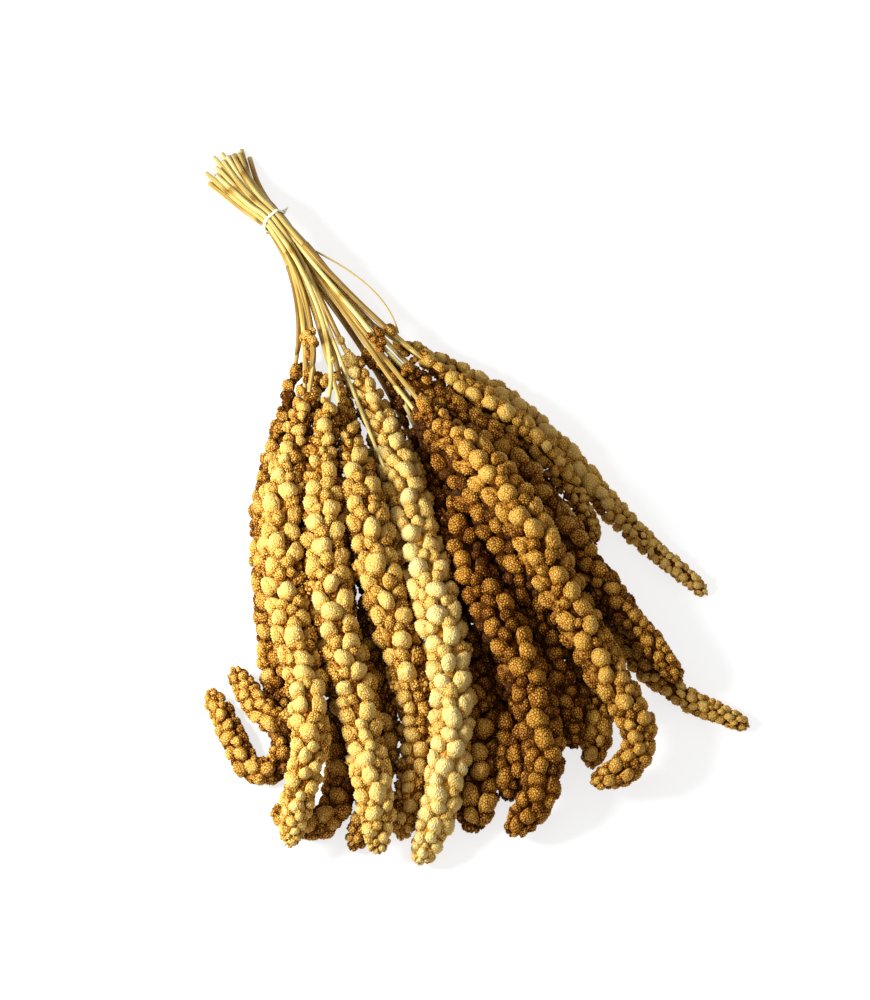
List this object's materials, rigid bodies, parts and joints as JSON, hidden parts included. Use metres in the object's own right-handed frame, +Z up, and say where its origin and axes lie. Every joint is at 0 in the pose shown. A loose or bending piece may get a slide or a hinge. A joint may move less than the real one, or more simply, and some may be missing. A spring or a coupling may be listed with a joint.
{
  "type": "tied bunch of foxtail millet ears",
  "caption": "Dried bunch of foxtail millet lying on its side: long golden ears of rounded seed clusters fan out from straw stems held by a thin pale tie.",
  "frame": {"origin": "middle of the bunch's outline on the surface it lies on", "axes": "+Z up from that surface, the ears fan out toward -Y and the cut ends of the stems point toward +Y and -X"},
  "size_m": [0.3096, 0.44, 0.0649],
  "materials": {
    "millet_seed": "dry matt seed husks",
    "straw": "dry straw with a faint sheen",
    "cord": "smooth matt band"
  },
  "bodies": {
    "root": {"head_01": "millet_seed", "head_02": "millet_seed", "head_03": "millet_seed", "head_04": "millet_seed", "head_05": "millet_seed", "head_06": "millet_seed", "head_07": "millet_seed", "head_08": "millet_seed", "head_09": "millet_seed", "head_10": "millet_seed", "head_11": "millet_seed", "head_12": "millet_seed", "head_13": "millet_seed", "head_14": "millet_seed", "head_15": "millet_seed", "head_16": "millet_seed", "head_17": "millet_seed", "head_18": "millet_seed", "stem_01": "straw", "stem_02": "straw", "stem_03": "straw", "stem_04": "straw", "stem_05": "straw", "stem_06": "straw", "stem_07": "straw", "stem_08": "straw", "stem_09": "straw", "stem_10": "straw", "stem_11": "straw", "stem_12": "straw", "stem_13": "straw", "stem_14": "straw", "stem_15": "straw", "stem_16": "straw", "stem_17": "straw", "stem_18": "straw", "tie": "cord"}
  },
  "joints": []
}
